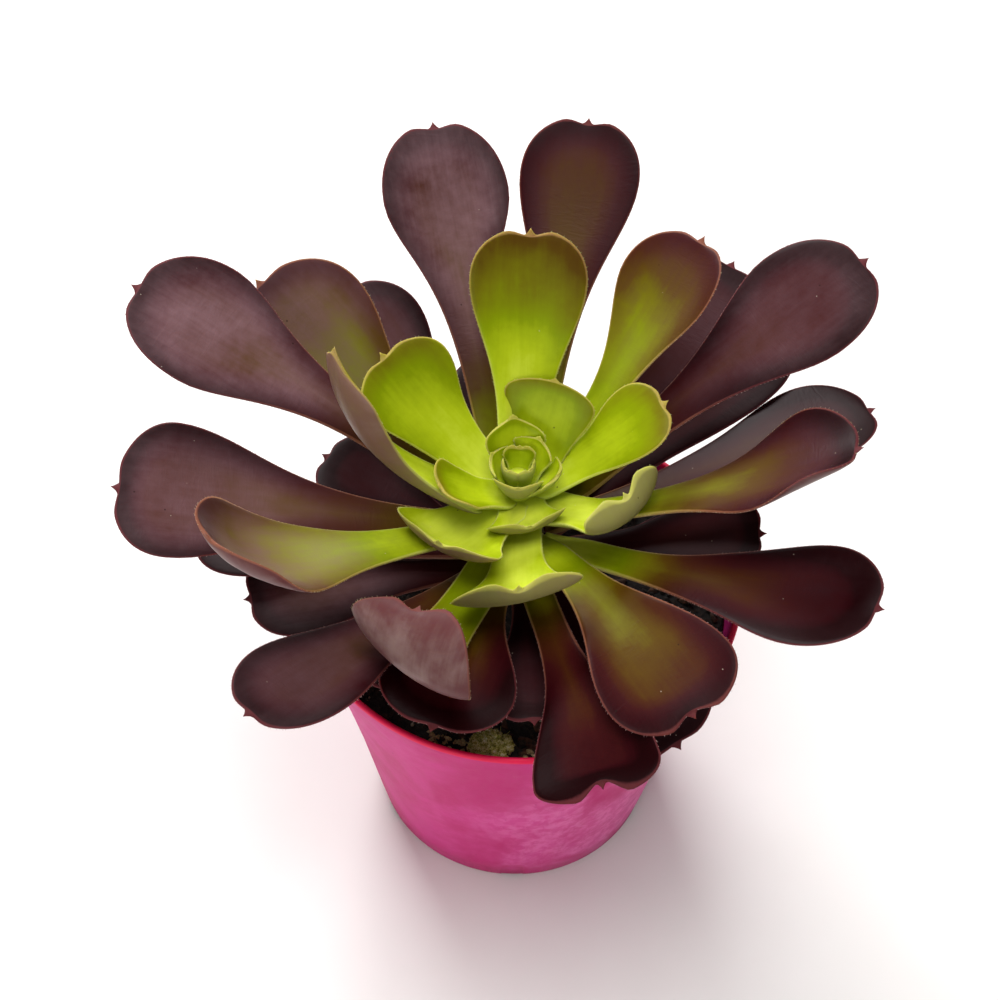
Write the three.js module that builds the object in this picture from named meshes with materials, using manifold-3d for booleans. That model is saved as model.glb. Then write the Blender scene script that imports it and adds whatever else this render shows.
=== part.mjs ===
// Potted aeonium: a fleshy rosette on a short stem, standing in the soil of a round nursery pot.
//
// Millimetres, +Z up, origin at the middle of the pot's underside. The viewer of the reference
// picture stands on the -Y side. Every piece is one closed solid and one named mesh.
//
// npm packages: three, manifold-3d

import * as THREE from 'three';
import { mergeVertices } from 'three/addons/utils/BufferGeometryUtils.js';
import Module from 'manifold-3d';

const wasm = await Module();
wasm.setup();

// ---------------------------------------------------------------- driving dimensions

const POT_HEIGHT = 92;
const POT_WALL = 1.6;
const POT_FLOOR = 2.8;
const POT_SEGMENTS = 48;
// Outer wall of the pot, as height and radius: a cone that flares a little under the rim.
const POT_OUTLINE = [
  [0.8, 42],
  [20, 45.2],
  [40, 48.4],
  [60, 52.2],
  [76, 56],
  [86, 58.8],
  [91.4, 60],
];
const FOOT_RELIEF = 1.2;
const FOOT_INNER_RADIUS = 37.6;
const BOSS_RADIUS = 14;
const DRAIN_HOLE_RADIUS = 3.2;
const DRAIN_HOLE_CIRCLE = 27;
const DRAIN_HOLES = 6;
const NOTCH_WIDTH = 6.3;

const SOIL_TOP = 84;
const SOIL_SWELL = 1.1;
const FIT_GAP = 0.3;

const STEM_BOTTOM = 30;
const STEM_TOP = 115.4;
const STEM_RADIUS = 6.5;
const STEM_TIP_RADIUS = 3.2;
const STEM_LEAN = -1.5 / 46;

const LEAF_SIDES = 8;
const LEAF_SHOULDER = 0.82;
const MUCRO_LENGTH = 2;
const MUCRO_HALF_WIDTH = 1.5;

const MOSS_CENTRE = [-7, -51.5];
const MOSS_RADIUS = 5.2;
const MOSS_KNOBS = 9;

// ---------------------------------------------------------------- small maths

const radians = (degrees) => degrees * Math.PI / 180;
const clamp = (x, low, high) => Math.min(Math.max(x, low), high);
const mix = (a, b, t) => a + (b - a) * t;

function smooth(from, to, x) {
  const t = clamp((x - from) / (to - from), 0, 1);
  return t * t * (3 - 2 * t);
}

// Repeatable draw between 0 and 1, the same on every run.
function makeDraw(seed) {
  let state = seed;
  return () => {
    state = (state * 1664525 + 1013904223) % 4294967296;
    return state / 4294967296;
  };
}

// ---------------------------------------------------------------- solids in and out of the cutter

function geometryFrom(positions, triangles) {
  const geometry = new THREE.BufferGeometry();
  geometry.setAttribute('position', new THREE.Float32BufferAttribute(positions, 3));
  geometry.setIndex(triangles);
  return geometry;
}

// Welds a geometry's doubled points and drops the slivers that this leaves at its poles.
function weld(geometry) {
  const bare = new THREE.BufferGeometry();
  bare.setAttribute('position', geometry.getAttribute('position').clone());
  bare.setIndex(geometry.getIndex() ? [...geometry.getIndex().array] : null);
  const joined = mergeVertices(bare, 1e-4);
  const index = joined.getIndex().array;
  const kept = [];
  for (let i = 0; i < index.length; i += 3) {
    const [a, b, c] = [index[i], index[i + 1], index[i + 2]];
    if (a !== b && b !== c && c !== a) {
      kept.push(a, b, c);
    }
  }
  joined.setIndex(kept);
  return joined;
}

function toSolid(geometry) {
  const mesh = new wasm.Mesh({
    numProp: 3,
    vertProperties: new Float32Array(geometry.getAttribute('position').array),
    triVerts: new Uint32Array(geometry.getIndex().array),
  });
  return new wasm.Manifold(mesh);
}

function fromSolid(solid) {
  const mesh = solid.getMesh();
  const points = [];
  for (let i = 0; i < mesh.vertProperties.length; i += mesh.numProp) {
    points.push(mesh.vertProperties[i], mesh.vertProperties[i + 1], mesh.vertProperties[i + 2]);
  }
  return geometryFrom(points, [...mesh.triVerts]);
}

// ---------------------------------------------------------------- stem

// Middle of the stem at a height. The stem leans a little to the left as it rises.
function stemCentre(z) {
  return new THREE.Vector3(STEM_LEAN * (z - SOIL_TOP), 0, z);
}

// The stem thins towards the growing tip in the heart of the rosette.
function stemRadius(z) {
  return mix(STEM_RADIUS, STEM_TIP_RADIUS, smooth(106, 126, z)) + 0.9 * smooth(70, 40, z);
}

// A closed round bar along the stem's middle line, with rings at the given heights.
function barAlongStem(heights, radiusAt, sides) {
  const points = [];
  const triangles = [];
  const first = stemCentre(heights[0]);
  points.push(first.x, first.y, first.z);
  for (const z of heights) {
    const centre = stemCentre(z);
    const radius = radiusAt(z);
    for (let i = 0; i < sides; i += 1) {
      const turn = i / sides * Math.PI * 2;
      points.push(centre.x + radius * Math.cos(turn), centre.y + radius * Math.sin(turn), z);
    }
  }
  const last = stemCentre(heights[heights.length - 1]);
  points.push(last.x, last.y, last.z);
  const end = points.length / 3 - 1;
  for (let i = 0; i < sides; i += 1) {
    const next = (i + 1) % sides;
    triangles.push(0, 1 + next, 1 + i);
    for (let j = 0; j < heights.length - 1; j += 1) {
      const low = 1 + j * sides;
      const high = low + sides;
      triangles.push(low + i, low + next, high + next);
      triangles.push(low + i, high + next, high + i);
    }
    triangles.push(end - sides + i, end - sides + next, end);
  }
  return geometryFrom(points, triangles);
}

// ---------------------------------------------------------------- leaves

// A leaf is a flattened bag: rings of points round a curved middle line, closed at the root and
// drawn to a small point (the mucro) at the tip. It is narrow and thick at the root, widest near
// the end, a trough at its base and almost flat in its blade.
//
// az       direction from the stem, degrees anticlockwise from +X
// pitch    mean rise above the horizon, degrees
// length   along the middle line, mm
// width    of the blade, mm
// height   of the root on the stem, mm
// curl     how much the rise grows from root to tip, degrees
// tip      extra rise of the last third, degrees
// roll     turn of the blade about its middle line, degrees
// cup      how far the blade's sides are raised, degrees
// hood     how much further they rise towards the tip, degrees
// neck     width of the base against the blade
// spread   how late the base widens into the blade
// shoulder where the blade is widest, as a share of the length
// lobe     how far the rounded sides of the end run ahead of its middle, mm
const LEAF_DEFAULTS = {
  curl: 0,
  tip: 0,
  roll: 0,
  cup: 15,
  hood: 0,
  neck: 0.27,
  spread: 2,
  shoulder: LEAF_SHOULDER,
  lobe: 1.2,
  mucro: MUCRO_LENGTH,
};

function leaf(name, az, pitch, length, width, height, rest = {}) {
  return { ...LEAF_DEFAULTS, name, az, pitch, length, width, height, ...rest };
}

// Middle line of a leaf: point, direction, and the sideways and upward directions of the blade.
function leafSpine(spec, steps = 80) {
  const rises = [];
  for (let i = 0; i <= steps; i += 1) {
    rises.push(Math.pow(clamp((i / steps - 0.62) / 0.38, 0, 1), 1.5));
  }
  const meanRise = rises.reduce((sum, value) => sum + value, 0) / rises.length;
  const turn = radians(spec.az);
  const outward = new THREE.Vector3(Math.cos(turn), Math.sin(turn), 0);
  const side = new THREE.Vector3(-Math.sin(turn), Math.cos(turn), 0);
  const directions = rises.map((rise, i) => {
    const pitch = radians(spec.pitch + spec.curl * (i / steps - 0.5) + spec.tip * (rise - meanRise));
    return outward.clone().multiplyScalar(Math.cos(pitch)).setZ(Math.sin(pitch));
  });
  // A rising leaf stands off a little more, so that the back of its root clears the stem.
  const clearance = spec.inHeart ? -1.5 : FIT_GAP + 1.9 * Math.abs(directions[0].z);
  const reach = stemRadius(spec.height) + clearance;
  const point = stemCentre(spec.height).addScaledVector(outward, reach);
  const points = [point.clone()];
  for (let i = 1; i <= steps; i += 1) {
    const step = directions[i].clone().add(directions[i - 1]).multiplyScalar(spec.length / steps / 2);
    points.push(points[i - 1].clone().add(step));
  }
  return (s) => {
    const place = clamp(s, 0, 1) * steps;
    const i = Math.min(Math.floor(place), steps - 1);
    const along = directions[i].clone().lerp(directions[i + 1], place - i).normalize();
    const up = along.clone().cross(side);
    const roll = radians(spec.roll) * smooth(0, 0.55, s);
    return {
      centre: points[i].clone().lerp(points[i + 1], place - i),
      along,
      across: side.clone().multiplyScalar(Math.cos(roll)).addScaledVector(up, Math.sin(roll)),
      over: up.clone().multiplyScalar(Math.cos(roll)).addScaledVector(side, -Math.sin(roll)),
    };
  };
}

function leafHalfWidth(spec, s) {
  const grown = smooth(0, 1, Math.pow(Math.min(s / spec.shoulder, 1), spec.spread));
  let half = mix(spec.neck, 1, grown) * spec.width / 2;
  half *= mix(0.68, 1, smooth(0, 0.16, s));
  if (s > spec.shoulder) {
    const end = (s - spec.shoulder) / (1 - spec.shoulder);
    half *= Math.sqrt(Math.max(1 - Math.pow(end, 2.2), 0));
  }
  return half;
}

function leafHalfThickness(spec, s) {
  let half = 1.45 + 0.35 * smooth(0, 0.2, s) - 0.6 * s;
  if (s > spec.shoulder) {
    const end = (s - spec.shoulder) / (1 - spec.shoulder);
    half *= 0.35 + 0.65 * Math.sqrt(Math.max(1 - end * end, 0));
  }
  return half;
}

function leafGeometry(spec) {
  const spine = leafSpine(spec);
  const bodyRings = spec.length > 30 ? 6 : 4;
  const stations = [];
  for (let i = 0; i <= bodyRings; i += 1) {
    stations.push(i / bodyRings * spec.shoulder);
  }
  for (const angle of [30, 55, 78]) {
    stations.push(spec.shoulder + (1 - spec.shoulder) * Math.sin(radians(angle)));
  }
  const rings = stations.map((s) => ({
    s,
    half: leafHalfWidth(spec, s),
    thick: leafHalfThickness(spec, s),
  }));
  rings.push({ s: 1, half: MUCRO_HALF_WIDTH, thick: 0.5 });

  const root = spine(0).centre;
  const points = [root.x, root.y, root.z];
  for (const ring of rings) {
    const frame = spine(ring.s);
    const trough = mix(30, spec.cup, smooth(0, 0.35, ring.s));
    const fold = radians(trough + spec.hood * smooth(0.6, 1, ring.s));
    const bend = ring.s > spec.shoulder ? fold / (spec.width / 2) : fold / ring.half;
    const lobe = spec.lobe * smooth(0.7, 1, ring.s) * Math.min(ring.half / (0.2 * spec.width), 1);
    for (let i = 0; i < LEAF_SIDES; i += 1) {
      const turn = i / LEAF_SIDES * Math.PI * 2;
      const out = ring.half * Math.cos(turn);
      const lift = ring.thick * Math.sin(turn);
      const ahead = lobe * Math.cos(turn) ** 2;
      const point = frame.centre.clone();
      point.addScaledVector(frame.across, Math.sin(bend * out) * (1 / bend - lift));
      point.addScaledVector(frame.over, (1 - Math.cos(bend * out)) / bend + Math.cos(bend * out) * lift);
      point.addScaledVector(frame.along, ahead);
      points.push(point.x, point.y, point.z);
    }
  }
  const end = spine(1);
  const mucro = end.centre.clone().addScaledVector(end.along, spec.mucro);
  points.push(mucro.x, mucro.y, mucro.z);
  return geometryFrom(points, leafTriangles(rings.length));
}

// The quads of the upper and the lower face are cut along the same diagonal.
function leafTriangles(ringCount) {
  const triangles = [];
  const last = 1 + ringCount * LEAF_SIDES;
  for (let i = 0; i < LEAF_SIDES; i += 1) {
    const next = (i + 1) % LEAF_SIDES;
    triangles.push(0, 1 + next, 1 + i);
    for (let j = 0; j < ringCount - 1; j += 1) {
      const a = 1 + j * LEAF_SIDES + i;
      const b = 1 + j * LEAF_SIDES + next;
      const c = a + LEAF_SIDES;
      const d = b + LEAF_SIDES;
      if (i < LEAF_SIDES / 2) {
        triangles.push(a, b, d, a, d, c);
      } else {
        triangles.push(a, b, c, b, d, c);
      }
    }
    triangles.push(last - LEAF_SIDES + i, last - LEAF_SIDES + next, last);
  }
  return triangles;
}

// Lowest leaves, half hidden under the rosette, over the soil.
const LOW_LEAVES = [
  leaf('low_leaf_01', 183, 5.5, 77, 28, 100.5, { cup: 12 }),
  leaf('low_leaf_02', 197, 6.3, 65, 32, 96.5, { cup: 12 }),
  leaf('low_leaf_03', 228, 12, 52, 26, 92.5, { cup: 12 }),
  leaf('low_leaf_04', 274, 7, 47, 22, 95, { curl: -10, cup: 10 }),
  leaf('low_leaf_05', 302, 3, 64, 32, 98, { curl: -15, cup: 20, roll: 8 }),
  leaf('low_leaf_06', 355, 14, 56, 28, 101.5),
  leaf('low_leaf_07', 2, 11, 48, 26, 96.5),
  leaf('low_leaf_08', 33.5, 23.5, 84, 22, 100.2, { curl: 5, cup: 10 }),
  leaf('low_leaf_09', 66, 4, 52, 26, 98.5, { curl: 5 }),
  leaf('low_leaf_10', 96, 10, 64, 28, 96, { curl: 5 }),
  leaf('low_leaf_11', 126, 23, 83, 30, 100.6, { curl: 10, cup: 10, roll: -8 }),
  leaf('low_leaf_12', 136, 8, 46, 28, 92.5, { curl: 5 }),
  leaf('low_leaf_13', 157, 17, 52, 26, 96.3, { cup: 10 }),
];

// The ring of large dark leaves that gives the rosette its spread.
const OUTER_LEAVES = [
  leaf('outer_leaf_01', 168, 33.5, 105, 36.5, 112.6, { curl: -8, cup: 12, roll: -10, spread: 3 }),
  leaf('outer_leaf_02', 186, 14.5, 95, 40, 109, {
    curl: 5, cup: 18, roll: -10, neck: 0.24, shoulder: 0.86,
  }),
  leaf('outer_leaf_03', 230, 16, 88, 27, 101.8, { cup: 10 }),
  leaf('outer_leaf_04', 252, 3, 57, 34, 105, { curl: -20, cup: 20 }),
  leaf('outer_leaf_05', 284, 6, 72, 31, 101.5, {
    curl: -15, tip: -25, cup: 20, roll: 25, spread: 3, shoulder: 0.93, lobe: 4,
  }),
  leaf('outer_leaf_06', 301.5, 7, 69, 34, 111.5, {
    curl: -25, cup: 25, roll: 10, shoulder: 0.85, lobe: 3,
  }),
  leaf('outer_leaf_07', 332, 16.3, 89, 32, 108, { curl: 15, cup: 20, roll: 4 }),
  leaf('outer_leaf_08', 13, 17.7, 89, 33, 107.5, { curl: 0, cup: 14, roll: -10, neck: 0.24 }),
  leaf('outer_leaf_09', 22, 37, 102, 35, 111, { curl: -8, cup: 10, roll: 8, spread: 2.8 }),
  leaf('outer_leaf_10', 50, 26, 91, 36, 103.5, { curl: 10, cup: 12, roll: 5 }),
  leaf('outer_leaf_11', 79.5, 36, 106, 33, 111, {
    curl: 20, cup: 14, spread: 2.6, shoulder: 0.85, lobe: 2,
  }),
  leaf('outer_leaf_12', 106, 38, 107, 35, 107, { curl: 20, cup: 14, neck: 0.25, spread: 3, lobe: 2 }),
  leaf('outer_leaf_13', 92, 20, 74, 30, 103.4, { curl: 10, neck: 0.25 }),
];

// Younger leaves above them, green at the base.
const UPPER_LEAVES = [
  leaf('upper_leaf_01', 150.5, 37, 87, 39, 105.3, { curl: 0, cup: 14, roll: -20, neck: 0.24 }),
  leaf('upper_leaf_02', 212, 27.3, 87, 35, 114.8, {
    curl: 10, tip: 50, cup: 12, hood: 45, roll: 6, neck: 0.26, spread: 2.1, lobe: 2,
  }),
  leaf('upper_leaf_03', 245.5, 36.5, 76, 36, 112.2, {
    curl: 42, tip: 140, roll: -14, neck: 0.32, spread: 3.5, lobe: 3.5,
  }),
  leaf('upper_leaf_04', 350, 28.5, 83, 33, 115, {
    curl: 20, cup: 8, hood: 52, roll: -8, neck: 0.24, spread: 2.3,
  }),
  leaf('upper_leaf_05', 44.5, 44.7, 78, 34, 115, { curl: 10, cup: 30, roll: -14, spread: 2.7 }),
];

// Bright leaves of the heart, down to the closed bud. They grow together into one head.
const HEART_LEAVES = [
  leaf('', 88, 54, 66, 30, 119, { curl: 10, cup: 16, neck: 0.4, lobe: 2 }),
  leaf('', 149.5, 38, 48, 30, 120, { curl: 20, cup: 20, neck: 0.45, roll: -8 }),
  leaf('', 16, 35, 42, 23, 121, { curl: 15, cup: 20, neck: 0.45, roll: 4 }),
  leaf('', 187, 54, 74, 23, 118, { curl: 78, cup: 45, neck: 0.6, roll: 24, lobe: -3 }),
  leaf('', 270, 20, 39.5, 32, 118, {
    curl: 10, tip: 78, neck: 0.38, roll: 13, spread: 2.8, shoulder: 0.87, lobe: 4.5,
  }),
  leaf('', 330, 37, 37, 28, 119, {
    curl: 10, tip: 100, cup: 25, neck: 0.5, roll: -14, spread: 2.4, shoulder: 0.85, lobe: 4,
  }),
  leaf('', 229, 13, 29.5, 33, 122, { curl: 10, tip: 70, cup: 30, neck: 0.5, roll: 8, lobe: 4 }),
  leaf('', 65, 53, 30, 24, 121, {
    curl: 25, cup: 10, neck: 0.6, roll: 8, lobe: 0, mucro: 1,
  }),
  leaf('', 100, 64, 19.5, 17, 122, {
    curl: 25, cup: 45, neck: 0.65, shoulder: 0.72, lobe: -1.5, mucro: 1,
  }),
  leaf('', 205, 32, 23, 19, 122, { curl: 30, cup: 40, neck: 0.6, mucro: 1 }),
  leaf('', 280, 22, 15.5, 21, 122, {
    curl: 20, tip: 50, cup: 30, neck: 0.6, roll: 8, lobe: 3, mucro: 1,
  }),
  leaf('', 342, 50, 14, 12, 124, { curl: 30, cup: 35, neck: 0.65, lobe: -1, mucro: 1 }),
  leaf('', 50, 62, 13, 13, 125, { curl: 30, cup: 35, neck: 0.65, lobe: -1, mucro: 1 }),
  leaf('', 165, 60, 11, 12, 125, { curl: 30, cup: 40, neck: 0.65, lobe: -1, mucro: 1 }),
  leaf('', 268, 56, 10, 14, 124, { curl: 30, cup: 50, neck: 0.65, mucro: 1 }),
  leaf('', 88, 68, 8, 9, 127, { curl: 30, cup: 40, neck: 0.65, mucro: 1 }),
  leaf('', 215, 72, 7, 8, 127, { curl: 30, cup: 50, neck: 0.65, mucro: 0.6 }),
  leaf('', 320, 74, 7, 8, 127, { curl: 30, cup: 50, neck: 0.65, mucro: 0.6 }),
].map((spec) => ({ ...spec, inHeart: true }));

function heartGeometry() {
  const heights = [STEM_TOP + FIT_GAP, 121, 125, 128.5, 130.5];
  const coreRadius = (z) => stemRadius(z) * (z > 130 ? 0.5 : 1);
  let head = toSolid(barAlongStem(heights, coreRadius, 10));
  for (const spec of HEART_LEAVES) {
    head = head.add(toSolid(leafGeometry(spec)));
  }
  // Pockets sealed between the crowded leaves are filled: only the outer skin is kept.
  const skins = head.decompose().sort((a, b) => b.volume() - a.volume());
  return fromSolid(skins[0]);
}

// ---------------------------------------------------------------- pot

// A body of revolution from a closed outline of [height, radius] pairs that starts and ends on
// the middle line.
function turned(outline) {
  const profile = outline.map(([z, radius]) => new THREE.Vector2(radius, z));
  const lathe = new THREE.LatheGeometry(profile, POT_SEGMENTS);
  lathe.rotateX(Math.PI / 2);
  return weld(lathe);
}

function potGeometry() {
  const inside = POT_OUTLINE.slice(1, -1).map(([z, radius]) => [z, radius - POT_WALL]);
  const rim = POT_OUTLINE[POT_OUTLINE.length - 1][1];
  const foot = POT_OUTLINE[0][1];
  const outline = [
    [0, 0],
    [0, BOSS_RADIUS],
    [FOOT_RELIEF, BOSS_RADIUS + 1],
    [FOOT_RELIEF, FOOT_INNER_RADIUS - 1],
    [0, FOOT_INNER_RADIUS],
    [0, foot - 0.8],
    ...POT_OUTLINE,
    [POT_HEIGHT, rim - 0.5],
    [POT_HEIGHT, rim - 1.1],
    [91.4, rim - POT_WALL],
    ...inside.reverse(),
    [POT_FLOOR + 1.5, foot - POT_WALL + 0.6],
    [POT_FLOOR, foot - POT_WALL - 1],
    [POT_FLOOR, 0],
  ];
  let pot = toSolid(turned(outline));
  for (let i = 0; i < DRAIN_HOLES; i += 1) {
    const turn = radians(-90 + i * 360 / DRAIN_HOLES);
    const hole = new THREE.CylinderGeometry(DRAIN_HOLE_RADIUS, DRAIN_HOLE_RADIUS, 8, 16);
    hole.rotateX(Math.PI / 2);
    hole.translate(DRAIN_HOLE_CIRCLE * Math.cos(turn), DRAIN_HOLE_CIRCLE * Math.sin(turn), 2);
    pot = pot.subtract(toSolid(weld(hole)));
    const notch = new THREE.BoxGeometry(12, NOTCH_WIDTH, 2 * FOOT_RELIEF);
    notch.translate(foot - 1, 0, 0);
    notch.rotateZ(turn);
    pot = pot.subtract(toSolid(weld(notch)));
  }
  return fromSolid(pot);
}

// ---------------------------------------------------------------- soil and moss

// Height of the soil: slow swells, and a low mound round the stem.
function soilHeight(x, y) {
  const swell = Math.sin(x * 0.17 + 1.3) * Math.cos(y * 0.15 - 0.4) + 0.6 * Math.sin(x * 0.31 - y * 0.27);
  const mound = 2.2 * Math.exp(-(x * x + y * y) / 300);
  return SOIL_TOP + SOIL_SWELL * 0.55 * swell + mound;
}

// The soil fills the pot, a hair clear of its wall. A lift raises its top, for cutting the moss.
function soilGeometry(lift = 0) {
  const wall = POT_OUTLINE.slice(1, -2).map(([z, radius]) => [z, radius - POT_WALL - FIT_GAP]);
  const foot = POT_OUTLINE[0][1];
  const topRadius = 56;
  const rings = [49, 41, 33, 25, 17, 9];
  const outline = [
    [POT_FLOOR + FIT_GAP, 0],
    [POT_FLOOR + FIT_GAP, foot - POT_WALL - 1.6],
    [POT_FLOOR + 1.8, foot - POT_WALL],
    ...wall,
    [SOIL_TOP, topRadius],
    ...rings.map((radius) => [SOIL_TOP, radius]),
    [SOIL_TOP, 0],
  ];
  const body = turned(outline);
  const points = body.getAttribute('position');
  for (let i = 0; i < points.count; i += 1) {
    if (points.getZ(i) > SOIL_TOP - 1) {
      const edge = smooth(56.5, 50, Math.hypot(points.getX(i), points.getY(i)));
      const height = soilHeight(points.getX(i), points.getY(i));
      points.setZ(i, mix(SOIL_TOP - 0.6, height, edge) + lift);
    }
  }
  return body;
}

function holedSoilGeometry() {
  const heights = [STEM_BOTTOM - FIT_GAP, 45, 60, 75, SOIL_TOP + 6];
  const hole = barAlongStem(heights, (z) => stemRadius(z) + 0.4, 24);
  return fromSolid(toSolid(soilGeometry()).subtract(toSolid(hole)));
}

// A crusty clump of dried moss by the rim: small knobs grown into each other.
function mossGeometry() {
  const draw = makeDraw(41);
  const [x, y] = MOSS_CENTRE;
  const ground = soilHeight(x, y);
  const body = new THREE.IcosahedronGeometry(1, 1);
  body.scale(MOSS_RADIUS, MOSS_RADIUS * 0.7, 3.4);
  body.translate(x, y, ground + 1.6);
  let clump = toSolid(weld(body));
  for (let i = 0; i < MOSS_KNOBS; i += 1) {
    const turn = i * 2.4;
    const reach = Math.sqrt((i + 0.5) / MOSS_KNOBS);
    const size = mix(1.1, 1.8, draw());
    const knob = new THREE.IcosahedronGeometry(size, 1);
    knob.rotateX(draw() * 3);
    const across = Math.cos(turn) * reach * MOSS_RADIUS * 0.95;
    const deep = Math.sin(turn) * reach * MOSS_RADIUS * 0.62;
    const high = ground + 1.6 + 3.2 * Math.sqrt(1 - 0.85 * reach * reach);
    knob.translate(x + across, y + deep, high - 0.4);
    clump = clump.add(toSolid(weld(knob)));
  }
  return fromSolid(clump.subtract(toSolid(soilGeometry(FIT_GAP))));
}

// ---------------------------------------------------------------- the whole

const FINISHES = {
  pot: { color: 0xc2315f, roughness: 0.5 },
  soil: { color: 0x17110d, roughness: 0.95 },
  stem: { color: 0x6f5a45, roughness: 0.85 },
  moss: { color: 0x8a8350, roughness: 0.95 },
  low: { color: 0x3a1a24, roughness: 0.42 },
  outer: { color: 0x4a2331, roughness: 0.4 },
  upper: { color: 0x6d6a2a, roughness: 0.4 },
  heart: { color: 0x9cb52c, roughness: 0.38 },
};

function piece(name, geometry, finish) {
  geometry.computeVertexNormals();
  const material = new THREE.MeshStandardMaterial({ ...FINISHES[finish], metalness: 0 });
  const mesh = new THREE.Mesh(geometry, material);
  mesh.name = name;
  return mesh;
}

const plant = new THREE.Group();
plant.name = 'plant';
const stemHeights = [STEM_BOTTOM, 33, 45, 60, 75, 90, 106, 111, STEM_TOP];
const stemSize = (z) => stemRadius(z) * (z === STEM_BOTTOM ? 0.6 : 1);
plant.add(piece('stem', barAlongStem(stemHeights, stemSize, 20), 'stem'));
plant.add(piece('heart', heartGeometry(), 'heart'));
for (const spec of LOW_LEAVES) {
  plant.add(piece(spec.name, leafGeometry(spec), 'low'));
}
for (const spec of OUTER_LEAVES) {
  plant.add(piece(spec.name, leafGeometry(spec), 'outer'));
}
for (const spec of UPPER_LEAVES) {
  plant.add(piece(spec.name, leafGeometry(spec), 'upper'));
}

const container = new THREE.Group();
container.name = 'container';
container.add(piece('pot', potGeometry(), 'pot'));
container.add(piece('soil', holedSoilGeometry(), 'soil'));
container.add(piece('moss_tuft', mossGeometry(), 'moss'));

const pottedAeonium = new THREE.Group();
pottedAeonium.name = 'potted_aeonium';
pottedAeonium.add(container, plant);

export default pottedAeonium;
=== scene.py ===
"""Looks of a potted aeonium: a fleshy green and maroon rosette standing in a pink nursery pot.

Metres, +Z up, origin at the middle of the pot's underside. The viewer of the reference picture
stands on the -Y side. Meshes are worked out in millimetres and scaled once, when they are done.
"""

import logging
import math
import random
from dataclasses import dataclass
from enum import Enum
from typing import Callable, ClassVar, Sequence, Union

import bmesh
import bpy
from mathutils import Matrix, Vector, noise


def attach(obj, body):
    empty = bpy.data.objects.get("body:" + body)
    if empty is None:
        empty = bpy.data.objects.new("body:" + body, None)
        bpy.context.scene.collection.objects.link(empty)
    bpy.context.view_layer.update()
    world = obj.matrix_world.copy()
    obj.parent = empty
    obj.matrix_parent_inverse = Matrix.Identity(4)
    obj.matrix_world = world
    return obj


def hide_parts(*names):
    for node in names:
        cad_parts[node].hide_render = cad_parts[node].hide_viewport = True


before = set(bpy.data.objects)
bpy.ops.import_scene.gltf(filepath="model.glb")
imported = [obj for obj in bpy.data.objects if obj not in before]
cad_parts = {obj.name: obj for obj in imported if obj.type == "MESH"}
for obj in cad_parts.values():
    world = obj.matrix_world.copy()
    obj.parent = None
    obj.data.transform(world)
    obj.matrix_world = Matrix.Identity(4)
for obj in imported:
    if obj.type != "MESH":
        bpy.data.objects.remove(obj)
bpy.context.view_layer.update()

MM = 0.001
BODY = "root"
NOISE_SEED = 5
GOLDEN_TURN = 2.39996
LOG = logging.getLogger("potted_aeonium")
Colour = tuple[float, float, float, float]


# ---------------- small maths


def clamp(x: float, low: float = 0.0, high: float = 1.0) -> float:
    """Keeps x between low and high."""
    return min(max(x, low), high)


def mix(a: float, b: float, t: float) -> float:
    """Goes straight from a to b as t goes from 0 to 1."""
    return a + (b - a) * t


def smooth(start: float, end: float, x: float) -> float:
    """Rises softly from 0 at start to 1 at end."""
    t = clamp((x - start) / (end - start))
    return t * t * (3 - 2 * t)


def outward(turn: float) -> Vector:
    """The level direction that stands turn radians anticlockwise from +X."""
    return Vector((math.cos(turn), math.sin(turn), 0))


def shade(red: int, green: int, blue: int) -> Colour:
    """Turns a screen colour of 0 to 255 into the linear colour that Blender works in."""
    def linear(c: float) -> float:
        return c / 12.92 if c <= 0.04045 else ((c + 0.055) / 1.055) ** 2.4
    return (linear(red / 255), linear(green / 255), linear(blue / 255), 1.0)


# ---------------- shader maths


class Value:
    """A shader socket that takes part in Python expressions."""

    def __init__(self, tree: "Tree", socket: bpy.types.NodeSocket) -> None:
        """Wraps a node's output socket."""
        self.tree = tree
        self.socket = socket

    def math(self, operation: str, other: "Number") -> "Value":
        """Adds a Math node on this value and another."""
        return self.tree.node("ShaderNodeMath", {"operation": operation}, {0: self, 1: other})

    def __add__(self, other: "Number") -> "Value":
        """self + other"""
        return self.math("ADD", other)

    __radd__ = __add__

    def __sub__(self, other: "Number") -> "Value":
        """self - other"""
        return self.math("SUBTRACT", other)

    def __mul__(self, other: "Number") -> "Value":
        """self * other"""
        return self.math("MULTIPLY", other)

    def rise(self, start: float, end: float) -> "Value":
        """Goes softly from 0 where the value is start to 1 where it is end."""
        settings = {"interpolation_type": "SMOOTHSTEP"}
        inputs = {"Value": self, "From Min": start, "From Max": end}
        return self.tree.node("ShaderNodeMapRange", settings, inputs)


Number = Union[float, Value]


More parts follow.
